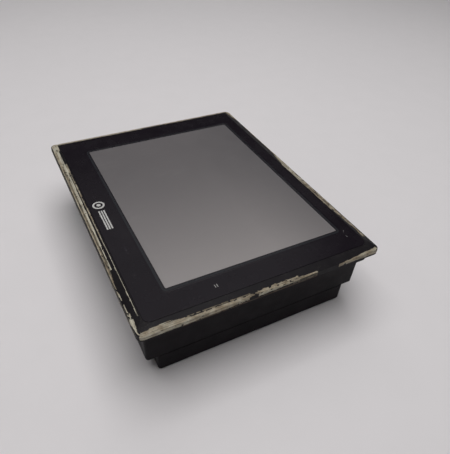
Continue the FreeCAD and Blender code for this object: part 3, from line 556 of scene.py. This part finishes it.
def front_film():
    """One film: a printed border that is pressed up round the window, and the matte window. A band of the
    border close round the window has a lighter bluish finish, a painted sheen.
    """
    outer = Loop(FILM_HIGH.x, FILM_HIGH.y, FILM_RADIUS, FILM_STEP)
    inner = Loop(*WINDOW_HALF, WINDOW_RADIUS, FILM_STEP)
    inner.along_x, inner.along_y = outer.along_x, outer.along_y
    top, bottom = FILM_HIGH.z, FILM_LOW.z

    def outer_ring(inset, z):
        return [(x, y, z) for x, y, _, _ in outer.points(inset)]

    def inner_ring(grow, z):
        return [(x, y, z) for x, y, _, _ in inner.points(-grow, WINDOW_CENTRE)]

    border, window, edge = 0, 1, 2
    rings = [
        (outer_ring(0.0, bottom), border),
        (outer_ring(0.0, top - EMBOSS - 0.16 * MM), border),
        (outer_ring(0.05 * MM, top - EMBOSS - 0.05 * MM), border),
        (outer_ring(0.20 * MM, top - EMBOSS), border),
        (inner_ring(EMBOSS_OUT + 0.5 * MM, top - EMBOSS), border),
        (inner_ring(EMBOSS_OUT + 0.2 * MM, top - EMBOSS * 0.75), border),
        (inner_ring(EMBOSS_OUT - 0.2 * MM, top - EMBOSS * 0.2), border),
        (inner_ring(EMBOSS_OUT - 0.5 * MM, top), border),
        # From 2.4 mm to 0.8 mm outside the window the border takes a lighter bluish finish: painted sheen.
        (inner_ring(2.4 * MM, top), edge),
        (inner_ring(0.8 * MM, top), border),
        (inner_ring(0.35 * MM, top), border),
        (inner_ring(0.1 * MM, top - 0.03 * MM), window),
        (inner_ring(-0.1 * MM, top - 0.09 * MM), window),
        (inner_ring(-0.35 * MM, top - 0.12 * MM), window),
    ]
    mesh = loft([ring for ring, _ in rings], [kind for _, kind in rings[:-1]] + [window])
    finishes = ["overlay_film", "window_film", "film_sheen_band"]
    piece = add_piece("front_film", mesh, finishes, "housing", 30)
    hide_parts("overlay_sheet")


def flat_print(name, outlines, z, thickness, material, body):
    """Ink as thin raised prisms; each outline is a list of (x, y), or an outer and an inner list."""
    work = bmesh.new()
    for outline in outlines:
        ring = isinstance(outline[0][0], (tuple, list))
        loops = outline if ring else [outline]
        levels = [[[work.verts.new((x, y, level)) for x, y in loop] for loop in loops]
                  for level in (z, z + thickness)]
        for k in range(len(loops)):
            low, high = levels[0][k], levels[1][k]
            for i in range(len(low)):
                j = (i + 1) % len(low)
                work.faces.new((low[i], low[j], high[j], high[i]))
        for level in levels:
            if ring:
                for i in range(len(level[0])):
                    j = (i + 1) % len(level[0])
                    work.faces.new((level[0][i], level[0][j], level[1][j], level[1][i]))
            else:
                work.faces.new(level[0])
    return add_piece(name, finished(work, name), material, body)


def rectangle(x0, x1, y0, y1):
    """Corners of an upright rectangle."""
    return [(x0, y0), (x1, y0), (x1, y1), (x0, y1)]


def circle(x, y, radius, count=28):
    """Points round a circle."""
    turns = [2 * math.pi * i / count for i in range(count)]
    return [(x + radius * math.cos(a), y + radius * math.sin(a)) for a in turns]


MARK_LEFT, MARK_Y = -14.5 * MM, -73.6 * MM
MARK_RING = (4.4 * MM, 3.1 * MM, 1.5 * MM)      # outer and inner radius of the ring, radius of the dot
STRIPES = (11.6 * MM, 34.0 * MM)                # where the stripes start and end, from the mark's left
STRIPE_PITCH, STRIPE_HALF = 1.75 * MM, 0.5 * MM
DASH_HALF = 1.25 * MM
SPECKS = ((89.3, 74.0, 0.20), (90.1, 73.2, 0.14), (95.2, 72.5, 0.27), (94.4, 71.9, 0.13))   # x, y, radius, mm
PRINT_SINK, PRINT_THICK, SPECK_THICK = 0.01 * MM, 0.03 * MM, 0.04 * MM


def film_print(name, outlines, thickness=PRINT_THICK):
    """Ink on the border of the front film, sunk a little so that no gap shows under it."""
    level = FILM_HIGH.z - EMBOSS - PRINT_SINK
    flat_print(name, outlines, level, thickness, "ink", "housing")


def front_prints():
    """A made-up mark, a few light specks, and the two dashes over the lamp."""
    outer, inner, dot = (circle(MARK_LEFT + MARK_RING[0], MARK_Y, radius) for radius in MARK_RING)
    outlines = [[outer, inner], dot]
    for k in (-1, 0, 1):
        y = MARK_Y + k * STRIPE_PITCH
        outlines.append(rectangle(MARK_LEFT + STRIPES[0], MARK_LEFT + STRIPES[1],
                                  y - STRIPE_HALF, y + STRIPE_HALF))
    film_print("front_mark", outlines)
    low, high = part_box("light_pipe")
    x, y = (low.x + high.x) / 2, (low.y + high.y) / 2
    dashes = [rectangle(x - DASH_HALF, x + DASH_HALF, y + (s * 0.75 - 0.15) * MM, y + (s * 0.75 + 0.15) * MM)
              for s in (-1, 1)]
    film_print("film_specks", [circle(x * MM, y * MM, r * MM, 7) for x, y, r in SPECKS], SPECK_THICK)
    film_print("lamp_mark", dashes)


# ---------------------------------------------------------------- dried filler along the rim

RIM_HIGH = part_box("front_bezel")[1]
RIM_RADIUS = 4.0 * MM
LIP_INSET = 5.8 * MM
LIP_TOP = FACE_Z - 0.2 * MM
RIM_TOP = FACE_Z - 2.4 * MM
RIM_BACK = FACE_Z - 6.4 * MM
SLOPE = math.hypot(LIP_INSET, LIP_TOP - RIM_TOP)
RIM_WIDTH = SLOPE + RIM_TOP - RIM_BACK

# Each band of filler, among them a dark band that stands for a painted sheen and a bright line that is partly
# a painted highlight: side, from and to along the side (mm along X or Y), (inner, outer) line across the rim
# at its start and at its end (mm from the film's groove; 6.2 is the rim's outer top edge), raggedness, share
# of holes, tone (1 is pure beige, 0 is dark).
BANDS = [
    ("low", -113, -99, (-0.1, 5.8), (0.5, 5.8), 0.3, 0.05, 0.85),
    ("low", -101, -70, (1.6, 3.6), (1.4, 3.7), 0.3, 0.05, 0.95),
    ("low", -101, -70, (3.5, 5.7), (3.5, 5.7), 0.3, 0.12, 0.66),
    ("low", -75, 34, (0.0, 1.3), (0.2, 1.1), 0.3, 0.06, 0.62),
    ("low", -74, 56, (1.2, 3.5), (2.7, 3.8), 0.3, 0.03, 1.00),
    ("low", -80, 50, (3.4, 4.9), (3.7, 5.0), 0.4, 0.16, 0.24),
    ("low", -72, 50, (4.9, 5.7), (4.9, 5.7), 0.15, 0.08, 0.72),
    # This dark band stands for a grey sheen on the bare rim: a painted highlight laid on as filler.
    ("low", 48, 64, (3.9, 5.3), (4.6, 5.3), 0.3, 0.20, 0.18),
    ("low", 46, 80, (5.0, 5.9), (5.1, 6.0), 0.2, 0.12, 0.55),
    ("low", 76, 113, (4.8, 5.9), (4.0, 5.9), 1.1, 0.22, 0.88),
    # This thin bright line along the film's groove is partly beige filler and partly a painted edge
    # highlight.
    ("low", 8, 99, (0.15, 0.95), (0.18, 1.05), 0.07, 0.00, 1.00),
    ("low", -113, 108, (8.5, 9.4), (8.6, 9.6), 0.25, 0.15, 0.45),
    ("right", -87, -77, (3.9, 6.4), (2.7, 6.4), 0.4, 0.04, 0.66),
    ("right", -79, -67, (2.8, 6.4), (2.3, 6.4), 0.2, 0.02, 0.66),
    ("right", -69, -55, (2.3, 6.4), (4.2, 6.4), 0.2, 0.02, 0.66),
    ("right", -57, -16, (4.5, 6.4), (4.6, 6.4), 0.5, 0.10, 0.60),
    ("right", -87, -54, (6.0, 9.2), (6.0, 9.1), 0.3, 0.05, 0.86),
    ("right", -57, -17, (6.0, 9.1), (6.0, 8.6), 0.4, 0.12, 0.68),
    ("right", -57, -15, (3.3, 4.3), (3.5, 4.5), 0.3, 0.30, 0.30),
    ("right", -18, -8, (4.6, 6.2), (4.4, 6.0), 0.4, 0.10, 0.60),
    ("right", -9, 19, (3.8, 6.4), (3.7, 6.4), 1.0, 0.16, 0.62),
    ("right", -9, 20, (6.0, 8.4), (6.0, 7.2), 0.7, 0.16, 0.85),
    ("right", 17, 34, (4.8, 6.8), (5.1, 6.5), 0.6, 0.18, 0.60),
    ("right", -60, 34, (8.9, 10.1), (8.6, 10.1), 0.3, 0.10, 0.05),
    ("right", 16, 34, (6.7, 9.0), (6.4, 8.8), 0.5, 0.12, 0.10),
    ("right", 53, 86, (6.2, 8.9), (3.5, 9.0), 0.5, 0.08, 0.68),
    ("high", 98, 60, (2.2, 5.2), (1.3, 5.2), 0.6, 0.26, 0.56),
    ("high", 64, 26, (0.0, 2.2), (0.2, 2.6), 0.5, 0.26, 0.58),
    ("high", 64, 26, (3.2, 5.6), (3.0, 5.6), 0.4, 0.24, 0.60),
    ("high", 28, -4, (0.0, 5.8), (0.1, 5.8), 0.7, 0.26, 0.74),
    ("high", -2, -24, (0.2, 7.0), (4.6, 6.6), 0.4, 0.10, 0.70),
    ("high", -22, -76, (4.9, 6.2), (5.3, 6.2), 0.3, 0.18, 0.42),
    ("high", -94, -113, (4.0, 6.4), (0.8, 7.4), 0.4, 0.12, 0.55),
    ("left", 84, 18, (1.8, 6.6), (0.6, 6.6), 0.4, 0.18, 0.52),
    ("left", 20, -8, (2.4, 6.4), (1.6, 6.4), 0.4, 0.20, 0.45),
    ("left", -6, -87, (0.1, 6.6), (0.0, 6.8), 0.4, 0.10, 0.68),
]
# Reddish brown low on the rim: side, from and to along it, from and to across it, all in mm.
RUST = [("right", -60, 36, 8.7, 10.3), ("low", -113, 60, 9.4, 10.3)]
FILLER_THICK = 0.16 * MM
FULL_COVER = 0.35               # how deep inside a flake it has its full thickness, in mm
SKIN_LIFT, ROOT_DEPTH = 0.02 * MM, 0.05 * MM
FIRST_LEVEL = -0.2 * MM         # the filler starts this far inside the film's groove
ROW_STEP = 0.3 * MM
COLUMN_STEP = 0.65 * MM


def side_of(nx, ny):
    """Which side of the rim an outward direction belongs to."""
    if abs(ny) > abs(nx):
        return "high" if ny > 0 else "low"
    return "right" if nx > 0 else "left"


def wander(x, y, z, size, seed):
    """Smooth noise in -1..1 with features of this size in millimetres."""
    return noise.noise(Vector((x / size + seed * 7.3, y / size, z / size)))


def filler_at(side, x, y, across):
    """(cover, tone) of the filler at a place on the rim; there is filler where cover is above 0."""
    along = x if side in ("low", "high") else y
    best, tone = -1.0, 0.0
    for number, (where, start, end, first, last, ragged, holes, shade) in enumerate(BANDS):
        if where != side:
            continue
        share = (along - start) / (end - start)
        if not -0.06 < share < 1.06:
            continue
        t = min(max(share, 0.0), 1.0)
        inner = first[0] + (last[0] - first[0]) * t
        outer = first[1] + (last[1] - first[1]) * t
        length = 1.0 if side == "right" else 2.2
        edge = ragged * (0.8 * wander(x, y, number, 5.0 * length, 1)
                         + 0.6 * wander(x, y, number, 1.6 * length, 2))
        inside = min(across - inner + edge, outer - across + edge * 0.7)
        inside = min(inside, (min(share, 1 - share) * abs(end - start) + 0.9 + 2 * edge) * 0.5)
        place = x / length, y / length, across * length
        gap = wander(*place, 1.8, 3) + 0.35 * wander(*place, 0.8, 4)
        if holes > 0.02:
            inside = min(inside, (0.72 - 1.1 * holes - gap) * 1.2)
        if inside > best:
            best, tone = inside, shade
    tone += 0.28 * wander(x, y, across, 4.0, 5) + 0.15 * wander(x, y, across, 1.2, 6)
    return best, min(max(tone, 0.0), 1.0)


def rust_at(side, x, y, across):
    """Share of reddish brown from the foam, low on the rim."""
    along = x if side in ("low", "high") else y
    for where, start, end, inner, outer in RUST:
        if where == side and start < along < end and inner < across < outer:
            return min(max(0.75 + 0.8 * wander(x, y, across, 3.0, 8), 0.0), 1.0)
    return 0.0


def rim_point(x, y, nx, ny, across, lift):
    """A point of the rim's skin: across the slope first, then down its outer wall."""
    if across <= SLOPE:
        share = across / SLOPE
        inward = LIP_INSET * (1 - share)
        z = LIP_TOP + (RIM_TOP - LIP_TOP) * share
        tilt = math.atan2(LIP_TOP - RIM_TOP, LIP_INSET)
    else:
        inward = 0.0
        z = RIM_TOP - (across - SLOPE)
        tilt = math.radians(90)
    out = lift * math.sin(tilt)
    return (x - nx * (inward - out), y - ny * (inward - out), z + lift * math.cos(tilt))


def paint_residue():
    """Flakes of filler as closed shells over the rim, thick in the middle and thin at their edges."""
    loop = Loop(RIM_HIGH.x, RIM_HIGH.y, RIM_RADIUS, COLUMN_STEP, 9)
    columns = loop.points(0.0)
    rows = int(RIM_WIDTH / ROW_STEP)
    levels = [FIRST_LEVEL + (RIM_WIDTH - FIRST_LEVEL) * i / rows for i in range(rows + 1)]
    cover, tones, rusts = [], [], []
    for x, y, nx, ny in columns:
        side = side_of(nx, ny)
        column = [filler_at(side, x / MM, y / MM, level / MM) for level in levels]
        cover.append([c for c, _ in column])
        tones.append([t for _, t in column])
        rusts.append([rust_at(side, x / MM, y / MM, level / MM) for level in levels])
    work = bmesh.new()
    layers = [work.verts.layers.float.new(name) for name in ("tone", "rust", "along", "across")]
    made = {}

    def corner(i, k, top):
        key = (i, k, top)
        if key not in made:
            x, y, nx, ny = columns[i]
            depth = min(max(cover[i][k], 0.0) / FULL_COVER, 1.0)
            relief = 0.75 + 0.5 * wander(x / MM, y / MM, levels[k] / MM, 1.4, 9)
            lift = SKIN_LIFT + FILLER_THICK * depth * relief if top else -ROOT_DEPTH
            vert = work.verts.new(rim_point(x, y, nx, ny, levels[k], lift))
            for layer, value in zip(layers, (tones[i][k], rusts[i][k], i * COLUMN_STEP, levels[k])):
                vert[layer] = value
            made[key] = vert
        return made[key]

    def add_face(*corners):
        work.faces.new([corner(*place) for place in corners])

    count = len(columns)
    filled = {(i, k) for i in range(count) for k in range(rows)
              if min(cover[i][k], cover[(i + 1) % count][k],
                     cover[i][k + 1], cover[(i + 1) % count][k + 1]) > 0}
    for i, k in sorted(filled):
        j = (i + 1) % count
        add_face((i, k, True), (i, k + 1, True), (j, k + 1, True), (j, k, True))
        add_face((i, k, False), (j, k, False), (j, k + 1, False), (i, k + 1, False))
        rims = [((i - 1) % count, k, (i, k), (i, k + 1)), (j, k, (j, k + 1), (j, k)),
                (i, k - 1, (j, k), (i, k)), (i, k + 1, (i, k + 1), (j, k + 1))]
        for next_i, next_k, a, b in rims:
            if (next_i, next_k) not in filled:
                add_face((*a, True), (*a, False), (*b, False), (*b, True))
    add_piece("rim_residue", finished(work, "residue"), "residue", "housing", 60)


# ---------------------------------------------------------------- back and sockets

def label_print():
    """Plain ruled table and bars on the blank label, with no lettering."""
    low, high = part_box("rating_plate")
    width, height = high.x - low.x, high.y - low.y
    line = 0.25 * MM
    margin = 1.6 * MM
    x0, x1, y0, y1 = low.x + margin, high.x - margin, low.y + margin, high.y - margin
    outlines = [[rectangle(x0, x1, y0, y1), rectangle(x0 + line, x1 - line, y0 + line, y1 - line)]]
    for share in (0.25, 0.5, 0.75):
        y = y0 + (y1 - y0) * share
        outlines.append(rectangle(x0 + line, x1 - line, y - line / 2, y + line / 2))
    dice = random.Random(5)
    for row in range(4):
        y = y0 + (y1 - y0) * (row + 0.5) / 4
        x = x0 + 0.05 * width
        while x < x1 - 0.12 * width:
            length = width * dice.uniform(0.04, 0.13)
            outlines.append(rectangle(x, x + length, y - 0.03 * height, y + 0.03 * height))
            x += length + 0.03 * width
    flat_print("label_bars", outlines, low.z - 0.02 * MM, 0.03 * MM, "dark_ink", "housing")


def box_into(work, x0, x1, y0, y1, z0, z1, chamfer):
    """A small bar with chamfered long edges, as contacts have."""
    corners = [(x0 + chamfer, z0), (x1 - chamfer, z0), (x1, z0 + chamfer), (x1, z1 - chamfer),
               (x1 - chamfer, z1), (x0 + chamfer, z1), (x0, z1 - chamfer), (x0, z0 + chamfer)]
    ends = [[work.verts.new((x, y, z)) for x, z in corners] for y in (y0, y1)]
    for i in range(len(corners)):
        j = (i + 1) % len(corners)
        work.faces.new((ends[0][i], ends[0][j], ends[1][j], ends[1][i]))
    work.faces.new(list(reversed(ends[0])))
    work.faces.new(ends[1])


CONTACTS, CONTACT_PITCH, CONTACT_HALF = 8, 1.02 * MM, 0.22 * MM
CONTACT_Y = (2.0 * MM, 9.0 * MM)                # from the socket's front
CONTACT_Z = (5.0 * MM, 5.3 * MM)
CONTACT_CHAMFER = 0.08 * MM


def contacts():
    """Gold contact springs in the network socket."""
    work = bmesh.new()
    low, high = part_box("network_jack")
    middle = (low.x + high.x) / 2
    for i in range(CONTACTS):
        x = middle + (i - (CONTACTS - 1) / 2) * CONTACT_PITCH
        box_into(work, x - CONTACT_HALF, x + CONTACT_HALF, low.y + CONTACT_Y[0], low.y + CONTACT_Y[1],
                 *CONTACT_Z, CONTACT_CHAMFER)
    add_piece("network_contacts", finished(work, "contacts"), "gold_contact", "housing")


# ---------------------------------------------------------------- everything the CAD made

# How wide the sharp edges are rounded, in mm.
BEVEL_WIDTHS = {
    "front_bezel": 0.30, "rear_case": 0.35, "back_cover": 0.40, "service_door": 0.25,
    "panel_gasket": 0.30, "heatsink": 0.15, "case_screws": 0.18, "cover_screws": 0.18,
    "board_screws": 0.12, "power_screws": 0.12, "clip_screws": 0.12,
}
SMALL_BEVEL = 0.12
MADE_ANEW = {"overlay_sheet"}   # front_film takes its place


def dress_all():
    """Every CAD node with its rounded edges and material, in the order of their names."""
    for node in sorted(NODES):
        if node not in MADE_ANEW:
            dress_cad_node(node, BEVEL_WIDTHS.get(node, SMALL_BEVEL) * MM)


# ---------------------------------------------------------------- stage, light and camera

FLOOR_HALF = 1.7
FLOOR_GAP = 0.05 * MM
LAMP_COLOUR = (1.0, 0.985, 0.985)


def stage_floor():
    """A large flat floor just under the object's base."""
    work = bmesh.new()
    bmesh.ops.create_grid(work, x_segments=24, y_segments=24, size=FLOOR_HALF)
    for vert in work.verts:
        vert.co.z = CAD_LOW.z - FLOOR_GAP
    mesh = bpy.data.meshes.new("floor")
    work.to_mesh(mesh)
    work.free()
    floor = bpy.data.objects.new("floor", mesh)
    bpy.context.scene.collection.objects.link(floor)
    mesh.materials.append(MATERIALS["backdrop"])


def area_light(name, place, target, size, watts):
    """A square lamp at the place, turned towards the target."""
    data = bpy.data.lights.new(name, "AREA")
    data.shape = "RECTANGLE"
    data.size = data.size_y = size
    data.energy = watts
    data.color = LAMP_COLOUR
    lamp = bpy.data.objects.new(name, data)
    lamp.location = place
    lamp.rotation_euler = (Vector(target) - Vector(place)).to_track_quat("-Z", "Y").to_euler()
    bpy.context.scene.collection.objects.link(lamp)


def sky(horizon, overhead):
    """World light: a pale band along the horizon and a dim ceiling above it."""
    world = bpy.data.worlds.new("sky")
    world.use_nodes = True
    tree = world.node_tree
    direction = tree.nodes.new("ShaderNodeTexCoord").outputs["Generated"]
    split = tree.nodes.new("ShaderNodeSeparateXYZ")
    ramp = tree.nodes.new("ShaderNodeMapRange")
    ramp.interpolation_type = "SMOOTHSTEP"
    for key, number in (("From Min", 0.10), ("From Max", 0.32), ("To Min", horizon), ("To Max", overhead)):
        ramp.inputs[key].default_value = number
    tree.links.new(direction, split.inputs[0])
    tree.links.new(split.outputs["Z"], ramp.inputs["Value"])
    background = tree.nodes["Background"]
    background.inputs["Color"].default_value = (*LAMP_COLOUR, 1.0)
    tree.links.new(ramp.outputs["Result"], background.inputs["Strength"])
    bpy.context.scene.world = world


def camera():
    """Looks down on the face from its lower right corner, with a slight roll."""
    azimuth, elevation, roll = math.radians(60.54), math.radians(39.73), math.radians(3.12)
    target = Vector((50.68 * MM, -0.65 * MM, FACE_Z))
    distance = 0.32916
    data = bpy.data.cameras.new("camera")
    data.sensor_width = 36.0
    data.lens = 37.07
    data.clip_start = 0.01
    away = Vector((math.sin(azimuth) * math.cos(elevation), -math.cos(azimuth) * math.cos(elevation),
                   math.sin(elevation)))
    seer = bpy.data.objects.new("camera", data)
    seer.location = target + away * distance
    turn = (-away).to_track_quat("-Z", "Y").to_matrix().to_4x4()
    seer.rotation_euler = (turn.to_3x3() @ Matrix.Rotation(roll, 3, "Z")).to_euler()
    bpy.context.scene.collection.objects.link(seer)
    bpy.context.scene.camera = seer


def main():
    bpy.context.scene.view_settings.view_transform = "Standard"
    camera()
    stage_floor()
    sky(0.55, 0.03)
    area_light("softbox", (0.05, 0.0, 1.3), (0.05, 0.0, 0.0), 1.2, 13.6)
    area_light("far_side", (-0.7, 0.3, 1.2), (0.0, 0.0, 0.0), 1.0, 3.0)
    area_light("low_side", (0.0, -0.8, 1.2), (0.0, 0.0, 0.0), 1.0, 1.3)
    front_film()
    front_prints()
    paint_residue()
    label_print()
    contacts()
    dress_all()


main()
